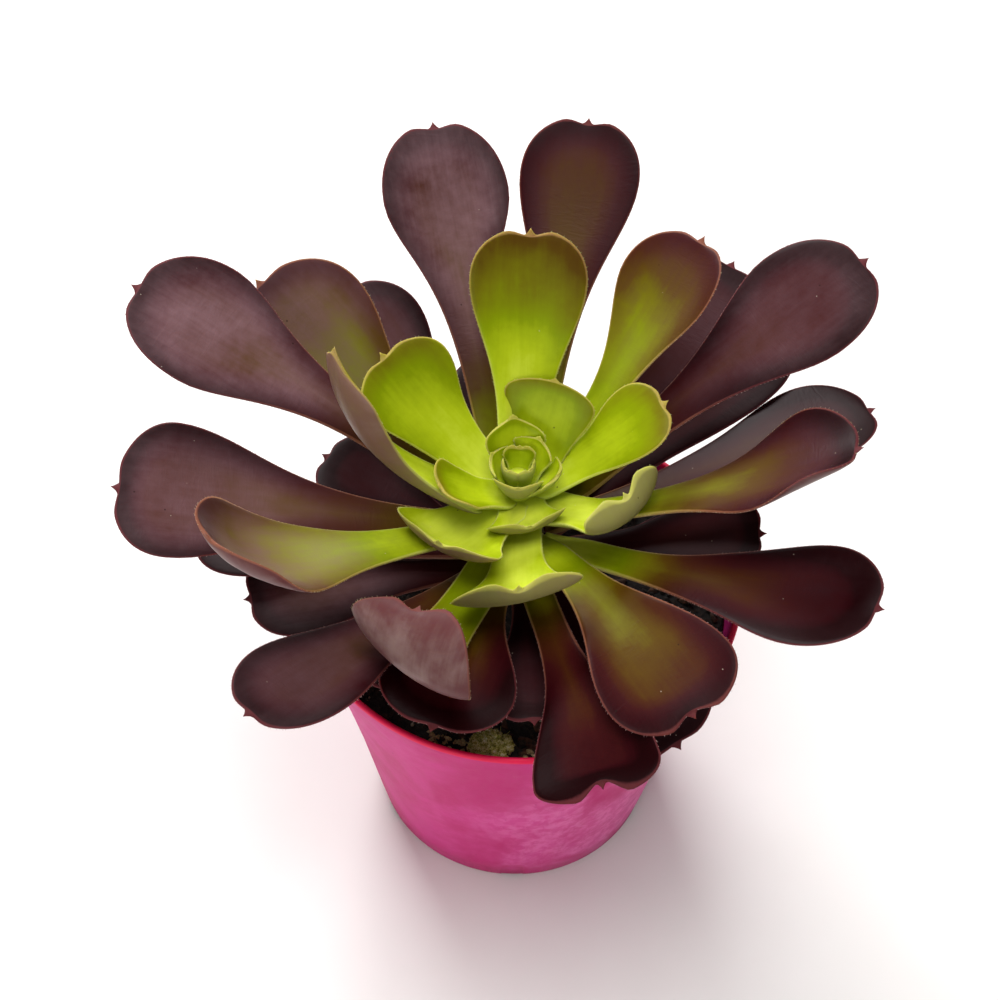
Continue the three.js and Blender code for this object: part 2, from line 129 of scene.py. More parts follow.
class Tree:
    """The node tree of one material, with the few nodes that the finishes need."""

    def __init__(self, name: str) -> None:
        """Makes an empty material of that name."""
        self.material = bpy.data.materials.new(name)
        self.material.use_nodes = True
        self.nodes = self.material.node_tree.nodes
        self.links = self.material.node_tree.links
        self.nodes.clear()

    def node(
        self,
        kind: str,
        settings: dict[str, object] | None = None,
        inputs: dict[object, object] | None = None,
        output: object = 0,
    ) -> Value:
        """Adds one node.

        Args:
            kind: Blender's name of the node type.
            settings: the node's own settings; "stops" are a ramp's (place, colour) pairs.
            inputs: values or links by the socket's name or number.
            output: name or number of the output that is used.

        Returns:
            The wrapped output socket.
        """
        made = self.nodes.new(kind)
        for key, setting in (settings or {}).items():
            if key == "stops":
                self._set_stops(made.color_ramp, setting)
            else:
                setattr(made, key, setting)
        for key, given in (inputs or {}).items():
            if isinstance(given, Value):
                self.links.new(given.socket, made.inputs[key])
            else:
                made.inputs[key].default_value = given
        return Value(self, made.outputs[output])

    @staticmethod
    def _set_stops(ramp: bpy.types.ColorRamp, stops: Sequence[tuple[float, Colour]]) -> None:
        """Gives a colour ramp its stops, in rising order."""
        while len(ramp.elements) < len(stops):
            ramp.elements.new(1.0)
        for element, (place, colour) in zip(ramp.elements, stops):
            element.position = place
            element.color = colour

    def place(self) -> Value:
        """Object coordinates in millimetres."""
        metres = self.node("ShaderNodeTexCoord", output="Object")
        return self.scaled(metres, (1000, 1000, 1000))

    def scaled(self, vector: Value, factors: tuple[float, float, float]) -> Value:
        """Stretches a pattern's coordinates."""
        return self.node("ShaderNodeVectorMath", {"operation": "MULTIPLY"}, {0: vector, 1: factors})

    def axis(self, vector: Value, letter: str) -> Value:
        """One of a vector's three numbers: "X", "Y" or "Z"."""
        return self.node("ShaderNodeSeparateXYZ", {}, {0: vector}, letter)

    def attribute(self, name: str, output: str = "Fac") -> Value:
        """Reads a value that the mesh carries."""
        return self.node("ShaderNodeAttribute", {"attribute_name": name}, output=output)

    def grain(self, vector: Value, scale: float, detail: float = 3, roughness: float = 0.55,
              distortion: float = 0) -> Value:
        """Cloudy noise between 0 and 1."""
        inputs = {"Vector": vector, "Scale": scale, "Detail": detail,
                  "Roughness": roughness, "Distortion": distortion}
        return self.node("ShaderNodeTexNoise", {}, inputs)

    def cells(self, vector: Value, scale: float) -> Value:
        """Distance to scattered points, in cells."""
        inputs = {"Vector": vector, "Scale": scale}
        return self.node("ShaderNodeTexVoronoi", {}, inputs, "Distance")

    def ramp(self, value: Value, stops: Sequence[tuple[float, Colour]]) -> Value:
        """Colours by value."""
        return self.node("ShaderNodeValToRGB", {"stops": stops}, {0: value})

    def blend(self, factor: Value, a: object, b: object) -> Value:
        """Mixes colour b over colour a."""
        settings = {"data_type": "RGBA", "blend_type": "MIX", "clamp_factor": True}
        return self.node("ShaderNodeMix", settings, {0: factor, 6: a, 7: b}, 2)

    def bump(self, height: Value, depth: float, below: Value | None = None) -> Value:
        """A relief of a height between 0 and 1, depth in millimetres."""
        inputs = {"Height": height, "Distance": depth * MM, "Strength": 1.0}
        if below is not None:
            inputs["Normal"] = below
        return self.node("ShaderNodeBump", {}, inputs)

    def finish(self, **sockets: object) -> bpy.types.Material:
        """Closes the tree with a Principled shader.

        Args:
            sockets: its inputs, with underscores for the spaces in their names.

        Returns:
            The finished material.
        """
        inputs = {name.replace("_", " "): given for name, given in sockets.items()}
        shader = self.node("ShaderNodeBsdfPrincipled", {}, inputs)
        end = self.nodes.new("ShaderNodeOutputMaterial")
        self.links.new(shader.socket, end.inputs["Surface"])
        return self.material


# ---------------- pieces


def add_object(name: str, data: bpy.types.ID) -> bpy.types.Object:
    """Puts an object that shows the data into the scene."""
    made = bpy.data.objects.new(name, data)
    bpy.context.scene.collection.objects.link(made)
    return made


def make_piece(
    name: str,
    mesh_maker: bmesh.types.BMesh,
    material: bpy.types.Material,
    replaced: Sequence[str] = (),
) -> bpy.types.Object:
    """Turns a finished bmesh in millimetres into a piece that rides on the plant's only body.

    Args:
        name: the piece's name.
        mesh_maker: its shape; it is freed here.
        material: its finish.
        replaced: CAD nodes that the piece stands for.

    Returns:
        The piece.
    """
    bmesh.ops.scale(mesh_maker, vec=(MM, MM, MM), verts=mesh_maker.verts)
    for face in mesh_maker.faces:
        face.smooth = True
    mesh = bpy.data.meshes.new(name)
    mesh_maker.to_mesh(mesh)
    mesh_maker.free()
    mesh.materials.append(material)
    piece = add_object(name, mesh)
    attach(piece, BODY)
    if replaced:
        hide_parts(*replaced)
    LOG.info("%s: %d faces", name, len(mesh.polygons))
    return piece


def gather(parts: Sequence[bmesh.types.BMesh]) -> bmesh.types.BMesh:
    """Joins several bmeshes of small repeats into one, which is faster than growing one."""
    whole = bmesh.new()
    for part in parts:
        carrier = bpy.data.meshes.new("carrier")
        part.to_mesh(carrier)
        part.free()
        whole.from_mesh(carrier)
        bpy.data.meshes.remove(carrier)
    return whole


def turned(outline: Sequence[tuple[float, float]], steps: int) -> bmesh.types.BMesh:
    """Spins an outline about the middle line into a closed body.

    Args:
        outline: [height, radius] pairs that start and end on the middle line.
        steps: corners of the body's outline seen from above.

    Returns:
        The body.
    """
    shape = bmesh.new()
    verts = [shape.verts.new((radius, 0, z)) for z, radius in outline]
    edges = [shape.edges.new(pair) for pair in zip(verts, verts[1:])]
    bmesh.ops.spin(
        shape, geom=verts + edges, cent=(0, 0, 0), axis=(0, 0, 1), dvec=(0, 0, 0),
        angle=math.tau, steps=steps, use_merge=True, use_duplicate=False,
    )
    bmesh.ops.remove_doubles(shape, verts=shape.verts, dist=0.001)
    bmesh.ops.recalc_face_normals(shape, faces=shape.faces)
    return shape


def add_spike(mesh_maker: bmesh.types.BMesh, foot: Vector, away: Vector, length: float,
              radii: tuple[float, float], sunk: float = 0.0) -> None:
    """Adds a three-sided cone of two end radii that stands on foot, sunk into it, along away."""
    aim = away.to_track_quat("Z", "Y").to_matrix().to_4x4()
    middle = foot + away.normalized() * (length / 2 - sunk)
    bmesh.ops.create_cone(
        mesh_maker, cap_ends=True, segments=3, radius1=radii[0], radius2=radii[1],
        depth=length, matrix=Matrix.Translation(middle) @ aim,
    )


# ---------------- stem line, shared by all leaves


@dataclass(frozen=True)
class StemLine:
    """Middle line and radius of the stem, which leans a little to the left as it rises."""

    bottom: float = 30.0
    top: float = 115.4
    radius: float = 6.5
    tip_radius: float = 3.2
    lean: float = -1.5 / 46
    soil_top: float = 84.0

    def centre(self, z: float) -> Vector:
        """Middle of the stem at a height."""
        return Vector((self.lean * (z - self.soil_top), 0, z))

    def radius_at(self, z: float) -> float:
        """The stem thins towards the growing tip and swells at its buried foot."""
        thin = mix(self.radius, self.tip_radius, smooth(106, 126, z))
        return thin + 0.9 * (1 - smooth(40, 70, z))


STEM_LINE = StemLine()


# ---------------- leaf skins


UPPER_TONES = (
    (0.00, shade(202, 214, 64)),
    (0.10, shade(170, 186, 22)),
    (0.22, shade(128, 144, 2)),
    (0.36, shade(110, 106, 8)),
    (0.50, shade(84, 60, 8)),
    (0.64, shade(68, 32, 12)),
    (0.76, shade(56, 14, 15)),
    (0.88, shade(44, 4, 9)),
    (1.00, shade(26, 0, 2)),
)
LOWER_TONES = (
    (0.00, shade(172, 186, 74)),
    (0.35, shade(148, 146, 78)),
    (0.60, shade(128, 96, 80)),
    (0.80, shade(98, 56, 56)),
    (1.00, shade(58, 20, 28)),
)
MARGIN_TONES = (
    (0.00, shade(206, 216, 110)),
    (0.30, shade(190, 172, 84)),
    (0.60, shade(164, 108, 80)),
    (1.00, shade(108, 50, 54)),
)
# Pale grey of the painted sheen, which stands for window light reflected off the leaves.
PAINTED_SHEEN_GREY = shade(160, 124, 130)


@dataclass(frozen=True)
class LeafSkin:
    """Finish of one storey of leaves: a satin skin over watery flesh.

    The mesh carries, at each point: ripe and back, the tone of the upper and the lower face from
    lime green (0) to dark maroon (1); painted_sheen, how much painted grey sheen, standing for
    window light reflected off the skin, lies on it; rim, the distance from the margin in
    millimetres; face, from -1 below to 1 above; blade, a place on the leaf.
    """

    name: str
    roughness: float
    wrinkles: float
    glow: float
    glow_colour: tuple[float, float, float]

    def build(self) -> bpy.types.Material:
        """Makes the material."""
        tree = Tree(self.name)
        blade = tree.attribute("blade", "Vector")
        rim = tree.attribute("rim")
        above = tree.attribute("face").rise(-0.12, 0.12)
        clouds = tree.grain(blade, 0.05, 3, 0.5, 0.3) - 0.5
        streaks = tree.grain(tree.scaled(blade, (0.55, 0.045, 1.0)), 1.0, 4, 0.6, 0.3) - 0.5
        mottle = tree.grain(blade, 0.45, 4, 0.6) - 0.5
        drift = clouds * 0.22 + streaks * 0.08 + mottle * 0.06
        ripe = tree.attribute("ripe") + drift
        back = tree.attribute("back") + drift
        upper = tree.ramp(ripe, UPPER_TONES)
        lower = tree.ramp(back, LOWER_TONES)
        # Painted sheen: pale grey, mottled, laid over the upper face where window light reflects.
        sheen_amount = tree.attribute("painted_sheen") * (0.4 + clouds * 1.3 + streaks * 0.35 + mottle * 0.3)
        upper = tree.blend(sheen_amount, upper, PAINTED_SHEEN_GREY)
        pale = (clouds * 1.4 + streaks * 0.2 + mottle * 0.2).rise(-0.05, 0.35) * 0.4
        lower = tree.blend(pale, lower, shade(172, 148, 140))
        skin = tree.blend(above, lower, upper)
        skin = self._specks(tree, blade, skin)
        line = (rim + mottle * 0.2).rise(0.5, 0.15)
        skin = tree.blend(line * 0.6, skin, tree.ramp(ripe, MARGIN_TONES))
        rough = self.roughness + clouds * 0.10 + mottle * 0.08 + line * 0.15
        return tree.finish(
            Base_Color=skin,
            Roughness=rough,
            Normal=self._relief(tree, blade, clouds, mottle),
            Specular_IOR_Level=0.06,
            Subsurface_Weight=self.glow,
            Subsurface_Radius=self.glow_colour,
            Subsurface_Scale=3 * MM,
        )

    def _specks(self, tree: Tree, blade: Value, skin: Value) -> Value:
        """Scatters a few tiny dark pits and pale grains of dust."""
        pits = tree.cells(blade, 0.11).rise(0.034, 0.018)
        skin = tree.blend(pits * 0.7, skin, shade(30, 14, 10))
        dust = tree.cells(tree.scaled(blade, (1.0, 1.0, 3.0)), 0.16).rise(0.028, 0.016)
        return tree.blend(dust * 0.45, skin, shade(216, 200, 180))

    def _relief(self, tree: Tree, blade: Value, clouds: Value, mottle: Value) -> Value:
        """Patches of faint crosswise wrinkles, and a soft skin."""
        cross = tree.grain(tree.scaled(blade, (0.16, 0.6, 1.0)), 1.0, 3, 0.5, 1.2)
        creased = cross.rise(0.35, 0.7) * clouds.rise(-0.06, 0.12)
        normal = tree.bump(creased, 0.03 * self.wrinkles)
        return tree.bump(mottle, 0.03, normal)


# ---------------- leaves


class Storey(Enum):
    """Storey of the rosette that a leaf belongs to; the value is the record's slot."""

    LOW = "low_leaf"
    OUTER = "outer_leaf"
    UPPER = "upper_leaf"
    HEART = "heart_leaf"


SKINS = {
    Storey.LOW: LeafSkin("low_leaf_skin", 0.44, 0.6, 0.04, (1.0, 0.25, 0.2)),
    Storey.OUTER: LeafSkin("outer_leaf_skin", 0.38, 1.0, 0.06, (1.0, 0.35, 0.2)),
    Storey.UPPER: LeafSkin("upper_leaf_skin", 0.38, 0.7, 0.12, (0.9, 0.7, 0.15)),
    Storey.HEART: LeafSkin("heart_leaf_skin", 0.36, 0.3, 0.25, (0.8, 1.0, 0.12)),
}


@dataclass(frozen=True)
class LeafShape:
    """Measures and tones of one leaf.

    az is its direction from the stem in degrees anticlockwise from +X, pitch its mean rise,
    height its root's place on the stem. curl is how much the rise grows from root to tip, and
    tip the extra rise of the last third. roll turns the blade, cup raises its sides and hood
    raises them further towards the tip. neck is the width of the base against the blade, spread
    how late it widens, shoulder where it is widest. lobe is how far the sides of the end run
    ahead of its middle, and mucro the length of the small point at the tip. tones are those of
    the upper face at root, middle and tip, back that of the lower face, and painted_sheen how much
    painted grey sheen, which stands for window light reflected off it, the upper face has. A leaf
    in_heart has grown into the growing tip.
    """

    az: float
    pitch: float
    length: float
    width: float
    height: float
    tones: tuple[float, float, float]
    # How much painted grey sheen, for reflected window light, lies on the upper face.
    painted_sheen: float = 0.1
    back: float = 0.8
    curl: float = 0.0
    tip: float = 0.0
    roll: float = 0.0
    cup: float = 15.0
    hood: float = 0.0
    neck: float = 0.27
    spread: float = 2.0
    shoulder: float = 0.82
    lobe: float = 1.2
    mucro: float = 2.0
    in_heart: bool = False


@dataclass(frozen=True)
class SpineFrame:
    """A leaf's middle line at one station: its point and the directions round it."""

    centre: Vector
    along: Vector
    across: Vector
    over: Vector


class Leaf:
    """One leaf: a flattened closed bag of rings round a curved middle line."""

    STEPS: ClassVar[int] = 80
    ROUND: ClassVar[int] = 28
    MUCRO_HALF_WIDTH: ClassVar[float] = 1.5
    MUCRO_HALF_THICKNESS: ClassVar[float] = 0.45
    MUCRO_RINGS: ClassVar[tuple[float, ...]] = (0.30, 0.65, 1.0)
    FIT_GAP: ClassVar[float] = 0.3
    RIPPLE: ClassVar[float] = 0.45
    ROOT_TROUGH: ClassVar[float] = 30.0
    END_ROUNDNESS: ClassVar[float] = 2.2
    LONG_LEAF: ClassVar[float] = 30.0
    PATTERN_STEP: ClassVar[float] = 7.3

    def __init__(self, shape: LeafShape, seed: int) -> None:
        """Works out the middle line."""
        self.shape = shape
        self.seed = seed
        self.draw = random.Random(seed)
        self.phase = self.draw.uniform(0, math.tau)
        self.waves = self.draw.uniform(1.6, 2.6)
        self.plumpness = min(0.4 + shape.length / 55, 1) if shape.in_heart else 1.0
        self._lay_spine()

    def _lay_spine(self) -> None:
        """Walks from the root to the tip."""
        shape = self.shape
        rises = [clamp((i / self.STEPS - 0.62) / 0.38) ** 1.5 for i in range(self.STEPS + 1)]
        mean_rise = sum(rises) / len(rises)
        ahead = outward(math.radians(shape.az))
        self.side = Vector((-ahead.y, ahead.x, 0))
        self.directions = []
        for i, rise in enumerate(rises):
            bend = shape.curl * (i / self.STEPS - 0.5) + shape.tip * (rise - mean_rise)
            pitch = math.radians(shape.pitch + bend)
            self.directions.append(ahead * math.cos(pitch) + Vector((0, 0, math.sin(pitch))))
        clearance = -1.5 if shape.in_heart else self.FIT_GAP + 1.9 * abs(self.directions[0].z)
        reach = STEM_LINE.radius_at(shape.height) + clearance
        self.points = [STEM_LINE.centre(shape.height) + ahead * reach]
        stride = shape.length / self.STEPS / 2
        for before, after in zip(self.directions, self.directions[1:]):
            self.points.append(self.points[-1] + (before + after) * stride)

    def spine(self, s: float) -> SpineFrame:
        """The middle line at a share s of the leaf's length."""
        place = clamp(s) * self.STEPS
        i = min(int(place), self.STEPS - 1)
        along = self.directions[i].lerp(self.directions[i + 1], place - i).normalized()
        up = along.cross(self.side)
        roll = math.radians(self.shape.roll) * smooth(0, 0.55, s)
        return SpineFrame(
            self.points[i].lerp(self.points[i + 1], place - i),
            along,
            self.side * math.cos(roll) + up * math.sin(roll),
            up * math.cos(roll) - self.side * math.sin(roll),
        )

    def end_share(self, s: float) -> float:
        """How far a station is between the shoulder (0) and the rounded end (1)."""
        return clamp((s - self.shape.shoulder) / (1 - self.shape.shoulder))

    def half_width(self, s: float) -> float:
        """Half of the blade's width."""
        shape = self.shape
        grown = smooth(0, 1, min(s / shape.shoulder, 1) ** shape.spread)
        half = mix(shape.neck, 1, grown) * shape.width / 2 * mix(0.68, 1, smooth(0, 0.16, s))
        half *= math.sqrt(max(1 - self.end_share(s) ** self.END_ROUNDNESS, 0))
        return max(half, self.MUCRO_HALF_WIDTH) if s > shape.shoulder else half

    def half_thickness(self, s: float) -> float:
        """Half of the leaf's thickness at its middle."""
        body = (1.45 + 0.35 * smooth(0, 0.2, s) - 0.6 * s) * self.plumpness
        return body * (0.35 + 0.65 * math.sqrt(max(1 - self.end_share(s) ** 2, 0)))

    def bend(self, s: float) -> float:
        """How sharply the blade is bent across, in radians to a millimetre."""
        shape = self.shape
        trough = mix(self.ROOT_TROUGH, shape.cup, smooth(0, 0.35, s))
        fold = math.radians(trough + shape.hood * smooth(0.6, 1, s))
        return fold / (shape.width / 2 if s > shape.shoulder else self.half_width(s))

    def ripple(self, s: float, out: float) -> float:
        """Slow waves of the margins, which leave the middle of the blade alone."""
        size = self.RIPPLE * smooth(0.25, 0.7, s) * min(self.shape.width / 30, 1)
        wave = math.sin(self.waves * s * math.tau + self.phase + (1.3 if out > 0 else 0))
        return size * wave * abs(out) ** 2.5

    def point(self, s: float, turn: float) -> Vector:
        """A point of the skin at a share s of the length, and turn radians round the section."""
        frame_ = self.spine(s)
        half = self.half_width(s)
        bend = self.bend(s)
        share = math.cos(turn)
        out = half * share
        rise = math.sin(turn)
        lift = self.half_thickness(s) * rise * (0.8 if rise > 0 else 1.08)
        ahead = self.shape.lobe * smooth(0.7, 1, s) * smooth(0, 0.22 * self.shape.width, half)
        ahead *= share**2
        across = math.sin(bend * out) * (1 / bend - lift)
        over = (1 - math.cos(bend * out)) / bend + math.cos(bend * out) * lift
        over += self.ripple(s, share)
        return frame_.centre + frame_.across * across + frame_.over * over + frame_.along * ahead

    def rim_distance(self, s: float, share: float) -> float:
        """Distance from the blade's margin, measured in the blade."""
        shape = self.shape
        end = self.end_share(s)
        ended = end**self.END_ROUNDNESS
        inside = ended + share**2 * (1 - ended)
        scale = self.half_width(min(s, shape.shoulder))
        scale = mix(scale, (1 - shape.shoulder) * shape.length, end**2)
        return (1 - math.sqrt(inside)) * scale

    def tone(self, s: float, rim: float) -> float:
        """Ripeness of the upper face: set tones along the leaf, darker by the margin."""
        root, middle, tip = self.shape.tones
        base = mix(root, middle, smooth(0.05, 0.6, s))
        base = mix(base, tip, smooth(0.5, 0.98, s))
        border = 0.75 - smooth(0, min(10, self.shape.width * 0.3), rim)
        return base + border * smooth(0.15, 0.7, s) * mix(0.1, 0.34, smooth(0.1, 0.6, middle))

    def stations(self) -> list[float]:
        """Shares of the length where the rings stand, closer where the end rounds off."""
        shoulder = self.shape.shoulder
        body_rings = 28 if self.shape.length > self.LONG_LEAF else 16
        body = [i / body_rings * shoulder for i in range(body_rings + 1)]
        angles = range(5, 91, 5)
        return body + [mix(shoulder, 1, math.sin(math.radians(a))) for a in angles]

    def add_to(self, mesh_maker: bmesh.types.BMesh) -> None:
        """Adds the leaf's closed skin and what its finish reads to a bmesh.

        Args:
            mesh_maker: the bmesh that the leaf goes into.
        """
        layers = leaf_layers(mesh_maker)
        stations = self.stations()
        rings = len(stations) + len(self.MUCRO_RINGS)
        made = bmesh.ops.create_uvsphere(
            mesh_maker, u_segments=self.ROUND, v_segments=rings, radius=1
        )
        end = self.spine(1)
        for vert in made["verts"]:
            ring = round(math.acos(clamp(vert.co.z, -1, 1)) / math.pi * rings)
            turn = math.atan2(vert.co.y, vert.co.x)
            if ring == 0:
                s, turn = 0.0, math.pi / 2
                vert.co = self.spine(0).centre
            elif ring <= len(stations):
                s = stations[ring - 1]
                vert.co = self.point(s, turn)
            else:
                s = 1.0
                drawn = self.MUCRO_RINGS[ring - len(stations) - 1]
                girth = end.across * math.cos(turn) * self.MUCRO_HALF_WIDTH
                girth += end.over * math.sin(turn) * self.MUCRO_HALF_THICKNESS
                reach = end.along * self.shape.mucro * drawn
                vert.co = end.centre + reach + girth * (1 - drawn) ** 1.3
            for name, value in self._marks(s, turn).items():
                vert[layers[name]] = value

    def _marks(self, s: float, turn: float) -> dict[str, object]:
        """What the finish reads at one point of the skin."""
        share = math.cos(turn)
        rim = self.rim_distance(s, share)
        # Where the painted sheen lies: from the middle of the leaf on, fainter by the margin.
        sheen_reach = smooth(0.2, 0.65, s) * mix(0.4, 1, smooth(0, 7, rim))
        apart = self.seed * self.PATTERN_STEP + 0.4 * math.sin(turn)
        return {
            "rim": rim,
            "face": math.sin(turn),
            "ripe": self.tone(s, rim),
            "back": self.shape.back * mix(0.65, 1, smooth(0.1, 0.7, s)),
            "painted_sheen": self.shape.painted_sheen * sheen_reach,
            "blade": Vector((self.half_width(s) * share, s * self.shape.length, apart)),
        }

    def hairs(self) -> bmesh.types.BMesh:
        """The short soft hairs that fringe the margin.

        Returns:
            A bmesh of tiny three-sided cones.
        """
        hairs = bmesh.new()
        spacing = 0.85 if self.shape.length > self.LONG_LEAF else 0.6
        count = int(self.shape.length / spacing)
        for side in (0.0, math.pi):
            for i in range(count):
                s = mix(0.12, 1.0, (i + self.draw.random()) / count)
                if s > self.shape.shoulder:
                    share = math.sin(self.end_share(s) * math.pi / 2)
                    s = mix(self.shape.shoulder, 1, share)
                foot = self.point(s, side)
                inner = self.point(s, side + 0.35 if side == 0 else side - 0.35)
                frame_ = self.spine(s)
                away = (foot - inner).normalized() + frame_.along * self.draw.uniform(0.2, 0.8)
                away += frame_.over * self.draw.uniform(-0.35, 0.35)
                add_spike(hairs, foot, away, self.draw.uniform(0.22, 0.5), (0.05, 0.02), 0.08)
        return hairs


def leaf_layers(mesh_maker: bmesh.types.BMesh) -> dict[str, object]:
    """The values that a leaf's finish reads, made where they are missing.

    Args:
        mesh_maker: the bmesh that carries them.

    Returns:
        The layers by name.
    """
    values = mesh_maker.verts.layers.float
    vectors = mesh_maker.verts.layers.float_vector
    names = ("ripe", "back", "painted_sheen", "rim", "face")
    for name in names:
        if values.get(name) is None:
            values.new(name)
    if vectors.get("blade") is None:
        vectors.new("blade")
    return {**{name: values.get(name) for name in names}, "blade": vectors.get("blade")}


LOW_LEAVES = (
    LeafShape(183, 5.5, 77, 28, 100.5, (0.72, 0.8, 0.9), painted_sheen=0.3, cup=12),
    LeafShape(197, 6.3, 65, 32, 96.5, (0.7, 0.76, 0.86), painted_sheen=0.4, cup=12),
    LeafShape(228, 12, 52, 26, 92.5, (0.85, 0.92, 1.0), cup=12),
    LeafShape(274, 7, 47, 22, 95, (0.85, 0.92, 1.0), curl=-10, cup=10),
    LeafShape(302, 3, 64, 32, 98, (0.8, 0.95, 1.05), curl=-15, cup=20, roll=8),
    LeafShape(355, 14, 56, 28, 101.5, (0.75, 0.84, 0.92)),
    LeafShape(2, 11, 48, 26, 96.5, (0.9, 0.95, 1.0)),
    LeafShape(33.5, 23.5, 84, 22, 100.2, (0.8, 0.9, 1.0), curl=5, cup=10),
    LeafShape(66, 4, 52, 26, 98.5, (0.85, 0.95, 1.0), curl=5),
    LeafShape(96, 10, 64, 28, 96, (0.8, 0.9, 1.0), curl=5),
    LeafShape(126, 23, 83, 30, 100.6, (0.72, 0.8, 0.86), painted_sheen=0.3, curl=10, cup=10, roll=-8),
    LeafShape(136, 8, 46, 28, 92.5, (0.85, 0.92, 1.0), curl=5),
    LeafShape(157, 17, 52, 26, 96.3, (0.85, 0.92, 1.0), painted_sheen=0.1, cup=10),
)
OUTER_LEAVES = (
    LeafShape(168, 33.5, 105, 36.5, 112.6, (0.36, 0.62, 0.8), painted_sheen=0.7, curl=-8, cup=12,
              roll=-10, spread=3),
    LeafShape(186, 14.5, 95, 40, 109, (0.42, 0.62, 0.8), painted_sheen=0.4, curl=5, cup=18, roll=-10,
              neck=0.24, shoulder=0.86),
    LeafShape(230, 16, 88, 27, 101.8, (0.5, 0.68, 0.8), painted_sheen=0.3, cup=10),
    LeafShape(252, 3, 57, 34, 105, (0.22, 0.6, 0.98), painted_sheen=0, curl=-20, cup=20),
    LeafShape(284, 6, 72, 31, 101.5, (0.3, 0.62, 0.9), painted_sheen=0, curl=-15, tip=-25, cup=20,
              roll=25, spread=3, shoulder=0.93, lobe=4),
    LeafShape(301.5, 7, 69, 34, 111.5, (0.06, 0.46, 0.72), painted_sheen=0, curl=-25, cup=25, roll=10,
              shoulder=0.85, lobe=3),
    LeafShape(332, 16.3, 89, 32, 108, (0.0, 0.66, 1.0), painted_sheen=0.05, curl=15, cup=20, roll=4),
    LeafShape(13, 17.7, 89, 33, 107.5, (0.5, 0.76, 0.9), painted_sheen=0.1, cup=14, roll=-10, neck=0.24),
    LeafShape(22, 37, 102, 35, 111, (0.42, 0.74, 0.9), painted_sheen=0.25, curl=-8, cup=10, roll=8,
              spread=2.8),
    LeafShape(50, 26, 91, 36, 103.5, (0.7, 0.82, 0.92), painted_sheen=0.15, curl=10, cup=12, roll=5),
    LeafShape(79.5, 36, 106, 33, 111, (0.2, 0.5, 0.74), painted_sheen=0.1, curl=20, cup=14, spread=2.6,
              shoulder=0.85, lobe=2),
    LeafShape(106, 38, 107, 35, 107, (0.22, 0.62, 0.84), painted_sheen=0.85, curl=20, cup=14, neck=0.25,
              spread=3, lobe=2),
    LeafShape(92, 20, 74, 30, 103.4, (0.75, 0.85, 1.0), curl=10, neck=0.25),
)
UPPER_LEAVES = (
    LeafShape(150.5, 37, 87, 39, 105.3, (0.12, 0.38, 0.62), painted_sheen=0.5, cup=14, roll=-20,
              neck=0.24),
    LeafShape(212, 27.3, 87, 35, 114.8, (0.0, 0.26, 0.62), painted_sheen=0.45, curl=10, tip=50, cup=12,
              hood=45, roll=6, neck=0.26, spread=2.1, lobe=2),
    LeafShape(245.5, 36.5, 76, 36, 112.2, (0.1, 0.3, 0.8), painted_sheen=0.1, back=0.85, curl=42,
              tip=140, roll=-14, neck=0.32, spread=3.5, lobe=3.5),
    LeafShape(350, 28.5, 83, 33, 115, (0.0, 0.42, 0.84), painted_sheen=0.1, curl=20, cup=8, hood=52,
              roll=-8, neck=0.24, spread=2.3),
    LeafShape(44.5, 44.7, 78, 34, 115, (0.0, 0.24, 0.62), painted_sheen=0.1, curl=10, cup=30, roll=-14,
              spread=2.7),
)


def inner(az: float, pitch: float, length: float, width: float, height: float,
          tones: tuple[float, float, float], **rest: float) -> LeafShape:
    """A leaf of the heart, which has grown together with the others at its root."""
    given = {"neck": 0.65, "mucro": 1.0, "painted_sheen": 0.0, "back": 0.25, **rest}
    return LeafShape(az, pitch, length, width, height, tones, in_heart=True, **given)


